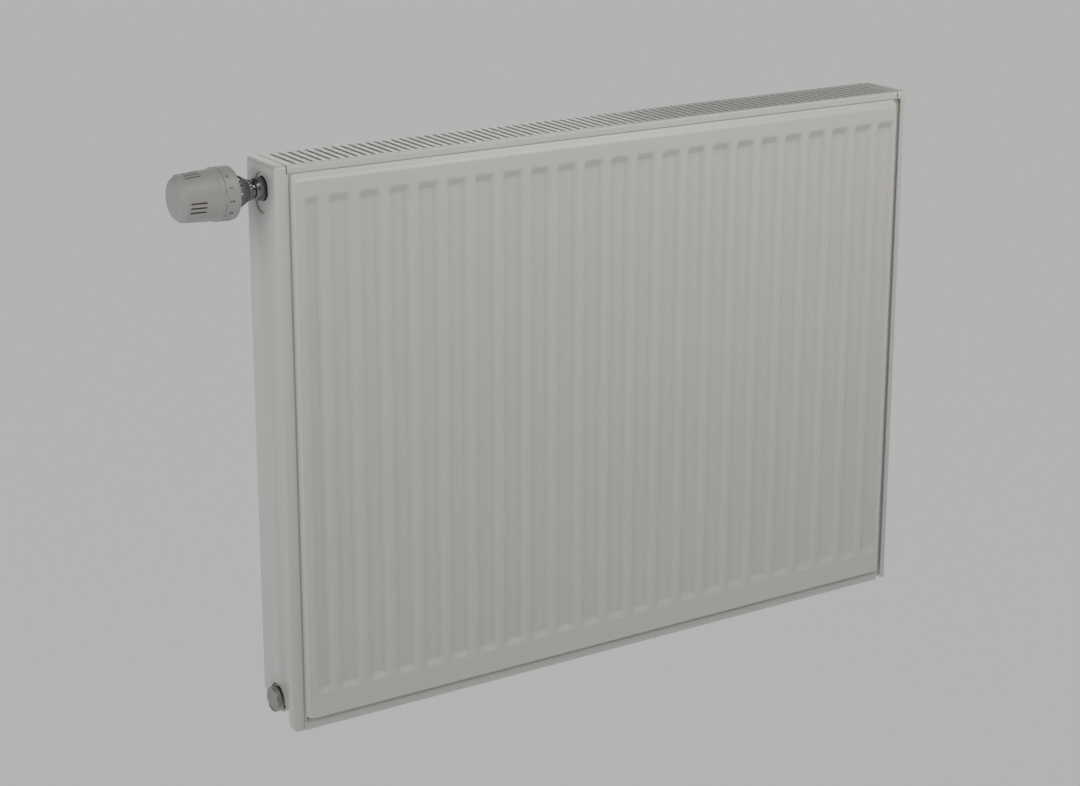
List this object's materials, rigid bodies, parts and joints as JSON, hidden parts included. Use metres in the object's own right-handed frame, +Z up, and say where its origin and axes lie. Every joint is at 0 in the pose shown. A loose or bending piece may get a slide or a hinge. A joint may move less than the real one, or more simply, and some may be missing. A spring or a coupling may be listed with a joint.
{
  "type": "radiator with valve",
  "caption": "White double-panel radiator with pressed vertical grooves, slotted top grille, side covers and a built-in thermostatic valve head on one end.",
  "frame": {"origin": "centre of the back at mid length and mid height, in the plane of the hanging lugs' rear faces", "axes": "+X along the radiator, away from the valve end; +Y towards the wall; +Z up; the front faces -Y"},
  "size_m": [0.9108, 0.082, 0.6],
  "materials": {
    "paint": "white satin powder coat",
    "nickel": "nickel-plated brass, slightly dull",
    "dark_chrome": "dark polished chrome",
    "steel": "bare stainless steel",
    "brass": "bare brass",
    "white_plastic": "white satin plastic",
    "rubber": "black rubber"
  },
  "bodies": {
    "radiator": {"front_panel_outer_sheet": "paint", "front_panel_inner_sheet": "paint", "rear_panel_inner_sheet": "paint", "rear_panel_outer_sheet": "paint", "convector": "paint", "side_cover_left": "paint", "side_cover_right": "paint", "header_tee_top_left": "paint", "header_tee_bottom_left": "paint", "header_tee_top_right": "paint", "header_tee_bottom_right": "paint", "supply_riser": "paint", "bottom_connection_block": "nickel", "hanging_lug_top_left": "paint", "hanging_lug_top_right": "paint", "hanging_lug_bottom_left": "paint", "hanging_lug_bottom_right": "paint", "blind_plug_bottom_left": "nickel", "seal_bottom_left": "rubber", "blind_plug_bottom_right": "nickel", "seal_bottom_right": "rubber", "vent_plug_body": "nickel", "seal_top_right": "rubber", "valve_insert": "nickel", "seal_top_left": "rubber", "return_spring": "steel", "union_nut": "dark_chrome", "head_base": "white_plastic"},
    "turning_handle": {"handle": "white_plastic"},
    "sensor": {"sensor_capsule": "brass", "sensor_plunger": "white_plastic"},
    "pin_and_disc": {"valve_pin": "steel", "valve_disc": "rubber"},
    "vent_outlet_ring": {"vent_outlet": "white_plastic"},
    "vent_key": {"vent_screw": "brass"},
    "grille": {"top_grille": "paint"}
  },
  "joints": [
    {"name": "handle_turn", "type": "hinge", "parent": "radiator", "child": "turning_handle", "pos_m": [-0.47, -0.04365, 0.273], "axis": [-1, 0, 0], "range_deg": [-150, 150]},
    {"name": "sensor_travel", "type": "slide", "parent": "radiator", "child": "sensor", "axis": [-1, 0, 0], "range_m": [-0.0021, 0.0021]},
    {"name": "valve_pin_travel", "type": "slide", "parent": "radiator", "child": "pin_and_disc", "axis": [-1, 0, 0], "range_m": [-0.0021, 0.0021]},
    {"name": "vent_outlet_swivel", "type": "hinge", "parent": "radiator", "child": "vent_outlet_ring", "pos_m": [0.408, -0.04365, 0.273], "axis": [1, 0, 0], "continuous": true},
    {"name": "vent_screw_turn", "type": "hinge", "parent": "radiator", "child": "vent_key", "pos_m": [0.41, -0.04365, 0.273], "axis": [1, 0, 0], "range_deg": [0, 360]},
    {"name": "grille_lift", "type": "slide", "parent": "radiator", "child": "grille", "axis": [0, 0, 1], "range_m": [0, 0.08]}
  ],
  "couplings": [
    {"joint": "sensor_travel", "follows": "handle_turn", "m_per_rad": 0.000764},
    {"joint": "valve_pin_travel", "follows": "handle_turn", "m_per_rad": 0.000764}
  ]
}
